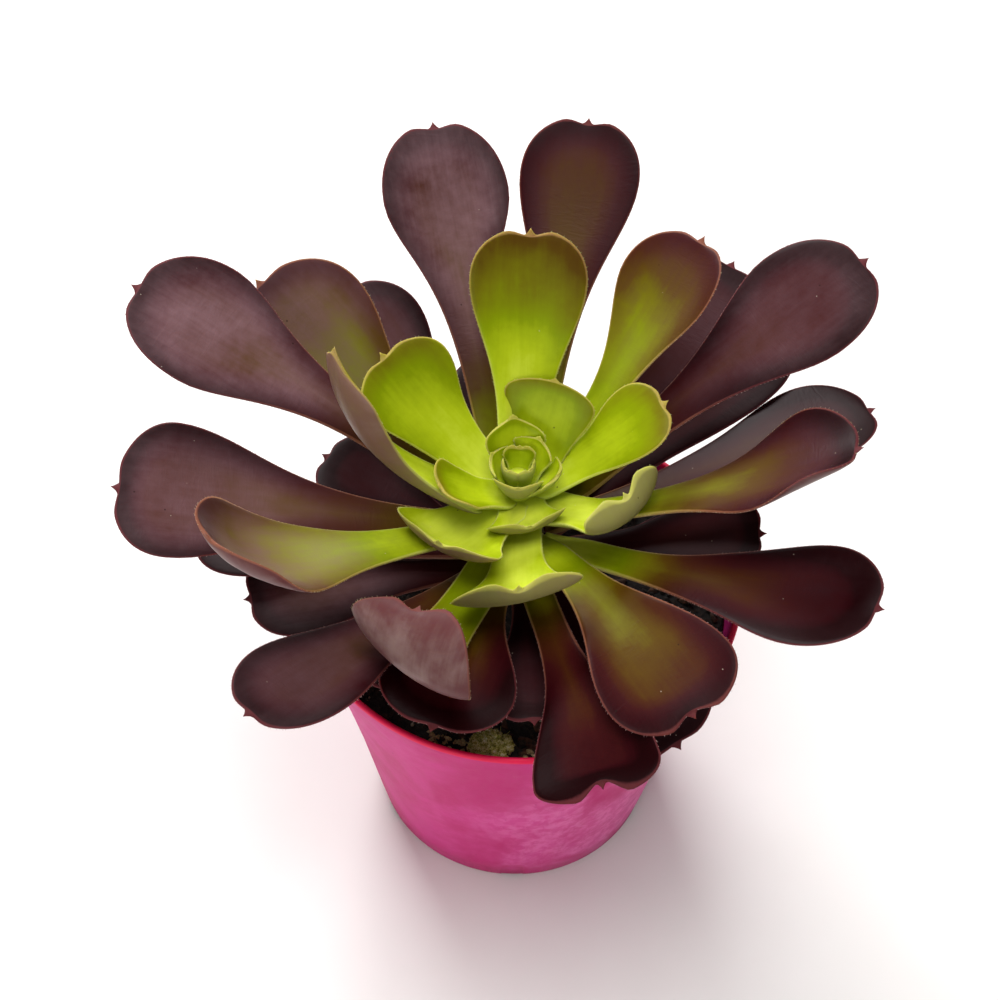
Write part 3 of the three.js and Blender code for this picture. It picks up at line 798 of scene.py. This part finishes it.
HEART_LEAVES = (
    inner(88, 54, 66, 30, 119, (-0.05, 0.1, 0.46), curl=10, cup=16, neck=0.4, lobe=2, mucro=2),
    inner(149.5, 38, 48, 30, 120, (0.0, 0.12, 0.26), curl=20, cup=20, neck=0.45, roll=-8,
          mucro=2),
    inner(16, 35, 42, 23, 121, (0.0, 0.16, 0.28), curl=15, cup=20, neck=0.45, roll=4, mucro=2),
    inner(187, 54, 74, 23, 118, (0.02, 0.1, 0.3), back=0.6, curl=78, cup=45, neck=0.6, roll=24,
          lobe=-3, mucro=2),
    inner(270, 20, 39.5, 32, 118, (0.0, 0.04, 0.14), back=0.45, curl=10, tip=78, neck=0.38,
          roll=13, spread=2.8, shoulder=0.87, lobe=4.5, mucro=2),
    inner(330, 37, 37, 28, 119, (0.0, 0.04, 0.12), back=0.42, curl=10, tip=100, cup=25, neck=0.5,
          roll=-14, spread=2.4, shoulder=0.85, lobe=4, mucro=2),
    inner(229, 13, 29.5, 33, 122, (0.0, 0.03, 0.1), back=0.55, curl=10, tip=70, cup=30, neck=0.5,
          roll=8, lobe=4, mucro=2),
    inner(65, 53, 30, 24, 121, (0.04, 0.18, 0.26), curl=25, cup=10, neck=0.6, roll=8, lobe=0),
    inner(100, 64, 19.5, 17, 122, (0.02, 0.14, 0.2), curl=25, cup=45, shoulder=0.72, lobe=-1.5),
    inner(205, 32, 23, 19, 122, (0.04, 0.16, 0.26), curl=30, cup=40, neck=0.6),
    inner(280, 22, 15.5, 21, 122, (0.0, 0.04, 0.1), back=0.4, curl=20, tip=50, cup=30, neck=0.6,
          roll=8, lobe=3),
    inner(342, 50, 14, 12, 124, (0.0, 0.1, 0.18), curl=30, cup=35, lobe=-1),
    inner(50, 62, 13, 13, 125, (0.0, 0.1, 0.18), curl=30, cup=35, lobe=-1),
    inner(165, 60, 11, 12, 125, (0.0, 0.08, 0.16), curl=30, cup=40, lobe=-1),
    inner(268, 56, 10, 14, 124, (0.04, 0.1, 0.16), curl=30, cup=50),
    inner(88, 68, 8, 9, 127, (0.06, 0.12, 0.18), curl=30, cup=40),
    inner(215, 72, 7, 8, 127, (0.06, 0.1, 0.16), curl=30, cup=50, mucro=0.6),
    inner(320, 74, 7, 8, 127, (0.06, 0.1, 0.16), curl=30, cup=50, mucro=0.6),
)


class Rosette:
    """All the leaves, from the lowest dark ones to the closed bud, with their fringes."""

    def __init__(self) -> None:
        """Lays out the leaves of every storey."""
        rows = {
            Storey.LOW: LOW_LEAVES,
            Storey.OUTER: OUTER_LEAVES,
            Storey.UPPER: UPPER_LEAVES,
            Storey.HEART: HEART_LEAVES,
        }
        self.storeys: dict[Storey, list[Leaf]] = {}
        seed = 1
        for storey, shapes in rows.items():
            self.storeys[storey] = [Leaf(shape, seed + i) for i, shape in enumerate(shapes)]
            seed += len(shapes)

    def build(self) -> None:
        """Makes a piece of each large leaf, one of the heart, and the fringes."""
        for storey, leaves in self.storeys.items():
            slot = storey.value
            skin = SKINS[storey].build()
            if storey is Storey.HEART:
                make_piece("heart_head", self._shape(leaves, True), skin, ["heart"])
            else:
                for number, leaf in enumerate(leaves, 1):
                    name = f"{slot}_{number:02d}"
                    make_piece(f"{name}_blade", self._shape([leaf], False), skin, [name])
            self._build_fringe(storey, leaves)

    def _shape(self, leaves: Sequence[Leaf], with_tip: bool) -> bmesh.types.BMesh:
        """Joins the skins of some leaves; with_tip adds the growing tip that they stand round."""
        shape = bmesh.new()
        for leaf in leaves:
            leaf.add_to(shape)
        if with_tip:
            self._add_growing_tip(shape)
        bmesh.ops.recalc_face_normals(shape, faces=shape.faces)
        return shape

    def _add_growing_tip(self, shape: bmesh.types.BMesh) -> None:
        """Adds the short cone that the bright leaves grow from."""
        layers = leaf_layers(shape)
        low, high = STEM_LINE.top + 0.3, 130.5
        made = bmesh.ops.create_uvsphere(shape, u_segments=20, v_segments=12, radius=1)
        for vert in made["verts"]:
            z = mix(low, high, (vert.co.z + 1) / 2)
            girth = STEM_LINE.radius_at(z) * smooth(1.0, 0.72, abs(vert.co.z)) ** 0.3
            turn = math.atan2(vert.co.y, vert.co.x)
            if abs(vert.co.z) > 0.9999:
                girth = 0
            vert.co = STEM_LINE.centre(z) + outward(turn) * girth
            vert[layers["rim"]] = 5.0
            vert[layers["face"]] = 1.0
            vert[layers["blade"]] = vert.co.copy()

    def _build_fringe(self, storey: Storey, leaves: Sequence[Leaf]) -> None:
        """Makes the margin hairs of one storey as one piece."""
        fringe = gather([leaf.hairs() for leaf in leaves])
        finish = FRINGES[storey].build()
        make_piece(f"{storey.value}_hairs", fringe, finish)


@dataclass(frozen=True)
class HairFinish:
    """Pale glassy hairs, darker in patches."""

    name: str
    pale: Colour
    dark: Colour

    def build(self) -> bpy.types.Material:
        """Makes the material."""
        tree = Tree(self.name)
        patches = tree.grain(tree.place(), 0.35, 2).rise(0.35, 0.65)
        return tree.finish(
            Base_Color=tree.blend(patches, self.pale, self.dark),
            Roughness=0.45 + patches * 0.1,
        )


FRINGES = {
    Storey.LOW: HairFinish("low_hair", shade(150, 104, 108), shade(104, 56, 66)),
    Storey.OUTER: HairFinish("outer_hair", shade(196, 158, 150), shade(140, 84, 90)),
    Storey.UPPER: HairFinish("upper_hair", shade(214, 196, 150), shade(170, 130, 110)),
    Storey.HEART: HairFinish("heart_hair", shade(226, 230, 160), shade(190, 196, 110)),
}


# ---------------- stem


@dataclass(frozen=True)
class BarkFinish:
    """Grey-brown corky stem skin."""

    name: str = "stem_bark_skin"

    def build(self) -> bpy.types.Material:
        """Makes the material."""
        tree = Tree(self.name)
        place = tree.place()
        cork = tree.grain(tree.scaled(place, (1, 1, 0.35)), 0.8, 5, 0.65)
        rings = tree.grain(tree.scaled(place, (0.2, 0.2, 1.4)), 1.0, 3, 0.6)
        tone = cork * 0.6 + rings * 0.4
        stops = ((0.3, shade(58, 42, 32)), (0.5, shade(112, 90, 68)), (0.7, shade(150, 132, 104)))
        return tree.finish(
            Base_Color=tree.ramp(tone, stops),
            Roughness=0.8 + cork * 0.15,
            Normal=tree.bump(tone, 0.5),
        )


class Stem:
    """The short stem, ringed by the scars of fallen leaves, down into the soil."""

    SCARS: ClassVar[int] = 34
    FIRST_SCAR: ClassVar[float] = 84.0
    SCAR_RISE: ClassVar[float] = 0.9

    def build(self) -> None:
        """Makes the stem in the place of its CAD node."""
        shape = bmesh.new()
        made = bmesh.ops.create_uvsphere(shape, u_segments=48, v_segments=90, radius=1)
        line = STEM_LINE
        for vert in made["verts"]:
            share = math.acos(clamp(vert.co.z, -1, 1)) / math.pi
            turn = math.atan2(vert.co.y, vert.co.x)
            z = mix(line.top, line.bottom, smooth(0, 1, share) * 0.4 + share * 0.6)
            girth = line.radius_at(z) + self._scar_depth(turn, z) - 0.1
            girth *= math.sqrt(clamp(min(share, 1 - share) / 0.03))
            vert.co = line.centre(z) + outward(turn) * girth
        bmesh.ops.recalc_face_normals(shape, faces=shape.faces)
        make_piece("stem_with_scars", shape, BarkFinish().build(), ["stem"])

    def _scar_depth(self, turn: float, z: float) -> float:
        """Height of the surface over the plain stem: crescent scars laid in a spiral."""
        depth = 0.12 * noise.noise(Vector((math.cos(turn) * 2, math.sin(turn) * 2, z * 0.4)))
        for i in range(self.SCARS):
            scar_z = self.FIRST_SCAR + i * self.SCAR_RISE
            if abs(z - scar_z) > 2.4:
                continue
            apart = math.remainder(turn - i * GOLDEN_TURN, math.tau)
            reach = (apart / 0.55) ** 2 + ((z - scar_z) / 1.5) ** 2
            depth += 0.35 * math.exp(-((reach - 1) ** 2) * 5) - 0.25 * math.exp(-reach * 3)
        return depth


# ---------------- pot


@dataclass(frozen=True)
class PotPlastic:
    """Magenta-pink moulded plastic: dust, scuffs, patches darker at the foot, and painted light.

    The pale dust lies thickest low on the right side, where it also stands for painted light on the
    pot's brighter side. The red of the rim is a painted glow of light lit through the thin plastic.
    """

    name: str = "pot_plastic_skin"

    def build(self) -> bpy.types.Material:
        """Makes the material."""
        tree = Tree(self.name)
        place = tree.place()
        height = tree.axis(place, "Z")
        clouds = tree.grain(place, 0.035, 4, 0.6, 0.5)
        blots = tree.grain(place, 0.3, 5, 0.65, 0.3)
        fine = tree.grain(place, 1.6, 3, 0.6)
        pink = tree.blend(clouds.rise(0.35, 0.7), shade(182, 16, 102), shade(196, 34, 124))
        # Pale dust patches, laid low and mostly on the right side: real dust, and also painted
        # light on the pot's brighter right side.
        right = tree.axis(place, "X").rise(-35, 40)
        dust = (blots.rise(0.36, 0.66) + 0.35) * clouds.rise(0.3, 0.6) * height.rise(90, 50)
        dust = dust * (right * 0.42 + 0.06)
        scuffs = tree.grain(tree.scaled(place, (1, 1, 0.4)), 0.5, 4, 0.7).rise(0.66, 0.74)
        # Darker in patches within 8 mm of the bottom.
        darker_foot = height.rise(8, 0) * blots.rise(0.4, 0.6)
        lip = height.rise(90.2, 91.2)
        # Layered over the pink: dust with the painted light on the right, scuffs, the darker foot,
        # and the rim's painted red glow of light through the thin plastic.
        for amount, colour in (
            (dust, shade(236, 140, 190)), (scuffs * 0.35, shade(110, 16, 52)),
            (darker_foot * 0.4, shade(120, 50, 60)), (lip * 0.85, shade(222, 14, 60)),
        ):
            pink = tree.blend(amount, pink, colour)
        return tree.finish(
            Base_Color=pink,
            Roughness=0.42 + blots * 0.2 + dust * 0.25,
            Normal=tree.bump(fine * 0.5 + blots * 0.5, 0.06),
            Specular_IOR_Level=0.25,
            Subsurface_Weight=0.08,
            Subsurface_Radius=(1.0, 0.15, 0.3),
            Subsurface_Scale=2 * MM,
        )


@dataclass(frozen=True)
class Pot:
    """The round nursery pot: a thin cone that flares under its rim, with drain holes."""

    height: float = 92.0
    rim: float = 60.0
    wall: float = 1.6
    floor: float = 2.8
    foot_relief: float = 1.2
    foot_inner: float = 37.6
    foot_outer: float = 41.0
    boss: float = 14.0
    hole_radius: float = 3.2
    hole_circle: float = 27.0
    holes: int = 6
    notch_width: float = 6.3
    sway: float = 0.22
    steps: int = 176

    OUTLINE: ClassVar[tuple[tuple[float, float], ...]] = (
        (0.8, 42), (10, 43.6), (20, 45.2), (40, 48.4), (60, 52.2), (68, 54.1), (76, 56),
        (81, 57.45), (86, 58.8), (89, 59.45), (91.0, 59.95),
    )

    def profile(self) -> list[tuple[float, float]]:
        """Closed outline of [height, radius] pairs from the middle line round to it again."""
        rim = self.rim
        lip = [(91.6, rim - 0.08), (91.9, rim - 0.35), (self.height, rim - 0.8),
               (91.9, rim - 1.25), (91.5, rim - 1.52)]
        inside = [(z, r - self.wall) for z, r in reversed(self.OUTLINE[1:])]
        return [
            (0, 0), (0, self.boss), (self.foot_relief, self.boss + 1),
            (self.foot_relief, self.foot_inner - 1), (0, self.foot_inner), (0, self.foot_outer),
            (0.25, self.foot_outer + 0.6), *self.OUTLINE, *lip, *inside,
            (self.floor + 1.5, 41.0), (self.floor, 39.4), (self.floor, 0),
        ]

    def build(self) -> None:
        """Makes the pot in the place of its CAD node."""
        shape = turned(self.profile(), self.steps)
        self._weather(shape)
        piece = make_piece("pot_shell", shape, PotPlastic().build(), ["pot"])
        self._cut(piece)

    def _weather(self, shape: bmesh.types.BMesh) -> None:
        """Takes the thin wall a hair out of round, as soft plastic is once it is filled."""
        for vert in shape.verts:
            sway = self.sway * smooth(20, self.height, vert.co.z)
            turn = math.atan2(vert.co.y, vert.co.x)
            stretch = 1 + sway / self.rim * math.sin(3 * turn + 0.8)
            vert.co.x *= stretch
            vert.co.y *= stretch

    def _cut(self, piece: bpy.types.Object) -> None:
        """Cuts the drain holes and the notches of the foot."""
        tools = bmesh.new()
        for i in range(self.holes):
            turn = math.radians(-90 + i * 360 / self.holes)
            away = outward(turn)
            drill = Matrix.Translation((away * self.hole_circle + Vector((0, 0, 2))) * MM)
            bmesh.ops.create_cone(
                tools, cap_ends=True, segments=28, radius1=self.hole_radius * MM,
                radius2=self.hole_radius * MM, depth=8 * MM, matrix=drill,
            )
            size = Matrix.Diagonal((12 * MM, self.notch_width * MM, 2 * self.foot_relief * MM, 1))
            middle = Matrix.Translation(away * self.foot_outer * MM)
            notch = middle @ Matrix.Rotation(turn, 4, "Z") @ size
            bmesh.ops.create_cube(tools, size=1, matrix=notch)
        cutter_mesh = bpy.data.meshes.new("pot_cutter")
        tools.to_mesh(cutter_mesh)
        tools.free()
        cutter = add_object("pot_cutter", cutter_mesh)
        cut = piece.modifiers.new("drain", "BOOLEAN")
        cut.operation = "DIFFERENCE"
        cut.solver = "EXACT"
        cut.object = cutter
        graph = bpy.context.evaluated_depsgraph_get()
        finished = bpy.data.meshes.new_from_object(piece.evaluated_get(graph))
        piece.modifiers.clear()
        piece.data = finished
        finished.name = "pot_shell"
        bpy.data.objects.remove(cutter)
        bpy.data.meshes.remove(cutter_mesh)


# ---------------- soil, moss and litter


@dataclass(frozen=True)
class SoilFinish:
    """Dark damp potting soil: peat, bark crumbs and grit."""

    name: str
    dark: Colour
    mid: Colour
    light: Colour

    def build(self) -> bpy.types.Material:
        """Makes the material."""
        tree = Tree(self.name)
        place = tree.place()
        lumps = tree.grain(place, 0.5, 6, 0.7)
        crumbs = tree.cells(place, 0.7)
        tone = lumps * 0.75 + crumbs * 0.3
        stops = ((0.35, self.dark), (0.55, self.mid), (0.78, self.light))
        return tree.finish(
            Base_Color=tree.ramp(tone, stops),
            Roughness=0.82 + lumps * 0.18,
            Normal=tree.bump(lumps * 0.6 + crumbs * 0.4, 0.8),
        )


class PottingSoil:
    """The soil that fills the pot, with its loose crumbs, bark and grit."""

    TOP: ClassVar[float] = 84.0
    SWELL: ClassVar[float] = 1.1
    EDGE: ClassVar[float] = 56.0
    STEPS: ClassVar[int] = 168
    RINGS: ClassVar[int] = 62
    CRUMBS: ClassVar[int] = 1500
    BATCH: ClassVar[int] = 150

    def surface(self, x: float, y: float) -> float:
        """Height of the soil: slow swells and a low mound round the stem."""
        swell = math.sin(x * 0.17 + 1.3) * math.cos(y * 0.15 - 0.4)
        swell += 0.6 * math.sin(x * 0.31 - y * 0.27)
        mound = 2.2 * math.exp(-(x * x + y * y) / 300)
        height = self.TOP + self.SWELL * 0.55 * swell + mound
        return mix(self.TOP - 0.6, height, 1 - smooth(50, 56.5, math.hypot(x, y)))

    def build(self) -> None:
        """Makes the body of soil and its crumbs."""
        self._build_body()
        self._build_crumbs()

    def _build_body(self) -> None:
        """Spins the soil's outline and roughens its top."""
        rings = [self.EDGE * (1 - i / self.RINGS) for i in range(self.RINGS)]
        outline = [(3.1, 0), (3.1, 38.4), (4.6, 40.4), (20, 43.2), (40, 46.4), (60, 50.2),
                   (76, 54), *[(self.TOP, radius) for radius in rings], (self.TOP, 0)]
        shape = turned(outline, self.STEPS)
        for vert in shape.verts:
            if vert.co.z > self.TOP - 1:
                x, y = vert.co.x, vert.co.y
                rough = noise.fractal(Vector((x, y, 0)) * 0.35, 0.9, 2.1, 5) * 0.7
                vert.co.z = self.surface(x, y) + rough * (1 - smooth(53, 56, math.hypot(x, y)))
        finish = SoilFinish("soil_peat", shade(8, 5, 4), shade(26, 18, 13), shade(58, 42, 30))
        make_piece("soil_body", shape, finish.build(), ["soil"])

    def _build_crumbs(self) -> None:
        """Scatters crumbs, bark chips and a little pale grit over the soil."""
        kinds = (
            ("soil_crumbs", 0.80, (0.35, 1.2), (1, 1, 0.8),
             SoilFinish("crumb_peat", shade(10, 7, 5), shade(36, 25, 17), shade(74, 54, 38))),
            ("bark_chips", 0.15, (0.7, 1.9), (1.8, 0.8, 0.35),
             SoilFinish("bark_chip", shade(34, 20, 13), shade(74, 46, 30), shade(120, 84, 56))),
            ("pale_grit", 0.05, (0.3, 0.7), (1, 1, 1),
             SoilFinish("grit", shade(120, 108, 92), shade(164, 152, 132), shade(206, 198, 180))),
        )
        draw = random.Random(17)
        for name, share, sizes, form, finish in kinds:
            batches = []
            for i in range(int(self.CRUMBS * share)):
                if i % self.BATCH == 0:
                    batches.append(bmesh.new())
                self._add_crumb(batches[-1], draw, sizes, form)
            make_piece(name, gather(batches), finish.build())

    def _add_crumb(self, batch: bmesh.types.BMesh, draw: random.Random,
                   sizes: tuple[float, float], form: tuple[float, float, float]) -> None:
        """Adds one knocked crumb where it lies on the soil."""
        reach = 8 + 47 * math.sqrt(draw.random())
        turn = draw.uniform(0, math.tau)
        size = draw.uniform(*sizes)
        reach = min(reach, 55.5 - size)
        x, y = reach * math.cos(turn), reach * math.sin(turn)
        tilt = Matrix.Rotation(draw.uniform(0, math.tau), 4, "Z")
        tilt = tilt @ Matrix.Rotation(draw.uniform(-0.5, 0.5), 4, "X")
        middle = Vector((x, y, self.surface(x, y) + size * 0.3 * form[2]))
        place = Matrix.Translation(middle) @ tilt @ Matrix.Diagonal((*form, 1))
        made = bmesh.ops.create_icosphere(batch, subdivisions=1, radius=size, matrix=place)
        for vert in made["verts"]:
            vert.co += (vert.co - middle) * draw.uniform(-0.3, 0.3)


@dataclass(frozen=True)
class MossFinish:
    """Dried moss and litter: straw, olive and brown in small patches."""

    name: str
    stops: tuple[tuple[float, Colour], ...]

    def build(self) -> bpy.types.Material:
        """Makes the material."""
        tree = Tree(self.name)
        place = tree.place()
        patches = tree.grain(place, 0.9, 5, 0.75)
        fluff = tree.grain(place, 3.5, 4, 0.7)
        tone = patches * 0.55 + fluff * 0.45
        return tree.finish(
            Base_Color=tree.ramp(tone, self.stops),
            Roughness=0.85 + fluff * 0.15,
            Normal=tree.bump(fluff, 0.6),
        )


class MossTuft:
    """A crusty clump of dried moss by the front of the rim, with litter beside it."""

    CENTRE: ClassVar[tuple[float, float]] = (-7.0, -51.5)
    RADIUS: ClassVar[float] = 5.2
    LUMPS: ClassVar[int] = 90
    THREADS: ClassVar[int] = 130
    FLAKES: ClassVar[int] = 46
    FLAKES_LEFT: ClassVar[int] = 34

    def __init__(self, soil: PottingSoil) -> None:
        """Stands the clump on the soil."""
        self.soil = soil
        self.draw = random.Random(41)

    def build(self) -> None:
        """Makes the clump, its threads and the dry litter along the rim."""
        moss = MossFinish("moss_crust", (
            (0.38, shade(66, 64, 12)), (0.46, shade(160, 158, 44)),
            (0.53, shade(226, 212, 132)), (0.60, shade(255, 250, 220)),
        ))
        clump = bmesh.new()
        ground = self.soil.surface(*self.CENTRE)
        for i in range(self.LUMPS):
            middle = self._spot(i, ground)
            size = self.draw.uniform(0.35, 1.3)
            made = bmesh.ops.create_icosphere(
                clump, subdivisions=2, radius=size, matrix=Matrix.Translation(middle)
            )
            for vert in made["verts"]:
                push = noise.noise(vert.co * 1.6) * 0.8
                vert.co += (vert.co - middle).normalized() * push * size
        finish = moss.build()
        make_piece("moss_clump", clump, finish, ["moss_tuft"])
        make_piece("moss_threads", self._threads(ground), finish)
        self._build_litter()

    def _spot(self, i: int, ground: float) -> Vector:
        """A place on the clump's low dome."""
        turn = i * GOLDEN_TURN
        reach = math.sqrt((i + 0.5) / self.LUMPS)
        x = self.CENTRE[0] + math.cos(turn) * reach * self.RADIUS
        y = self.CENTRE[1] + math.sin(turn) * reach * self.RADIUS * 0.68
        dome = 3.8 * math.sqrt(1 - 0.8 * reach * reach)
        return Vector((x, y, ground + dome * self.draw.uniform(0.7, 1.0) + 0.6))

    def _threads(self, ground: float) -> bmesh.types.BMesh:
        """Short dry threads that stand out of the clump."""
        threads = bmesh.new()
        for _ in range(self.THREADS):
            foot = self._spot(self.draw.randrange(self.LUMPS), ground)
            lean = Vector((self.draw.uniform(-1, 1), self.draw.uniform(-1, 1), 0.8))
            add_spike(threads, foot, lean, self.draw.uniform(0.8, 2.2), (0.14, 0.04))
        return threads

    def _build_litter(self) -> None:
        """Dry straw-coloured flakes against the wall, left and right of the clump."""
        flakes = bmesh.new()
        for i in range(self.FLAKES):
            sector = (-117, -101) if i < self.FLAKES_LEFT else (-89, -84)
            turn = math.radians(self.draw.uniform(*sector))
            reach = self.draw.uniform(52, 55.8)
            x, y = reach * math.cos(turn), reach * math.sin(turn)
            size = self.draw.uniform(0.5, 1.3)
            z = self.soil.surface(x, y) + 0.5 + self.draw.uniform(0, 2.2) * smooth(50, 55, reach)
            tilt = Matrix.Rotation(self.draw.uniform(0, math.tau), 4, "Z")
            tilt = tilt @ Matrix.Rotation(self.draw.uniform(-0.9, 0.9), 4, "Y")
            form = Matrix.Diagonal((size, size * 0.55, size * 0.22, 1))
            place = Matrix.Translation((x, y, z)) @ tilt @ form
            made = bmesh.ops.create_icosphere(flakes, subdivisions=1, radius=1, matrix=place)
            for vert in made["verts"]:
                vert.co += noise.noise_vector(vert.co * 2.0) * 0.25
        straw = MossFinish("dry_litter", (
            (0.34, shade(96, 76, 44)), (0.48, shade(190, 160, 108)), (0.62, shade(240, 224, 180)),
        ))
        make_piece("dry_litter", flakes, straw.build())


# ---------------- studio


@dataclass(frozen=True)
class Lamp:
    """A square soft light: its name, place, what it looks at, edge and power."""

    name: str
    place: tuple[float, float, float]
    target: tuple[float, float, float]
    edge: float
    power: float


class Studio:
    """Plain pale floor, soft light from a window behind, and the camera."""

    LAMPS: ClassVar[tuple[Lamp, ...]] = (
        Lamp("window", (-0.35, 0.95, 0.95), (0, 0, 0.12), 0.7, 18.0),
        Lamp("ceiling", (0.0, -0.1, 1.3), (0, 0, 0.1), 0.7, 10.0),
        Lamp("fill", (-0.45, -1.0, 0.4), (0, 0, 0.08), 0.5, 4.0),
    )
    ELEVATION: ClassVar[float] = 47.3
    ROLL: ClassVar[float] = 1.2
    AIM: ClassVar[tuple[float, float, float]] = (-5.9, 0.0, 120.0)
    DISTANCE: ClassVar[float] = 356.0

    def build(self) -> None:
        """Sets up floor, light and camera."""
        self._build_floor()
        self._build_lights()
        self._build_camera()

    def _build_floor(self) -> None:
        """A wide plain floor with the faintest grain."""
        shape = bmesh.new()
        bmesh.ops.create_grid(shape, x_segments=2, y_segments=2, size=4)
        mesh = bpy.data.meshes.new("floor")
        shape.to_mesh(mesh)
        shape.free()
        tree = Tree("floor_paint")
        grain = tree.grain(tree.place(), 0.02, 3)
        paint = tree.blend(grain, shade(232, 230, 226), shade(240, 238, 236))
        mesh.materials.append(tree.finish(Base_Color=paint, Roughness=0.6 + grain * 0.1))
        floor = add_object("floor", mesh)

    def _build_lights(self) -> None:
        """Lamps and an even bright room."""
        for lamp in self.LAMPS:
            data = bpy.data.lights.new(lamp.name, "AREA")
            data.size = lamp.edge
            data.energy = lamp.power
            light = add_object(lamp.name, data)
            light.location = lamp.place
            aim = Vector(lamp.target) - Vector(lamp.place)
            light.rotation_euler = aim.to_track_quat("-Z", "Y").to_euler()
        world = bpy.data.worlds.new("room")
        world.use_nodes = True
        room = world.node_tree.nodes["Background"]
        room.inputs["Color"].default_value = (1.0, 1.0, 1.0, 1.0)
        room.inputs["Strength"].default_value = 0.3
        bpy.context.scene.world = world
        bpy.context.scene.view_settings.view_transform = "Standard"

    def _build_camera(self) -> None:
        """The camera stands in front and looks down on the rosette."""
        rise, roll = math.radians(self.ELEVATION), math.radians(self.ROLL)
        back = Vector((0, -math.cos(rise), math.sin(rise)))
        up = Vector((0, math.sin(rise), math.cos(rise)))
        right = Vector((1, 0, 0))
        x_axis = right * math.cos(roll) + up * math.sin(roll)
        y_axis = up * math.cos(roll) - right * math.sin(roll)
        facing = Matrix((x_axis, y_axis, back)).transposed().to_4x4()
        data = bpy.data.cameras.new("camera")
        data.lens = 50
        data.sensor_width = 36
        data.clip_start = 0.01
        camera = add_object("camera", data)
        place = (Vector(self.AIM) + back * self.DISTANCE) * MM
        camera.matrix_world = Matrix.Translation(place) @ facing
        bpy.context.scene.camera = camera


# ---------------- the whole


def main() -> None:
    """Builds the plant, its pot and the studio."""
    logging.basicConfig(level=logging.INFO, format="%(name)s %(message)s")
    # Without a seed of its own, the noise vectors differ from run to run.
    noise.seed_set(NOISE_SEED)
    soil = PottingSoil()
    builders: list[Callable[[], None]] = [
        Pot().build, soil.build, MossTuft(soil).build, Stem().build, Rosette().build,
        Studio().build,
    ]
    for build in builders:
        build()


if __name__ == "__main__":
    main()
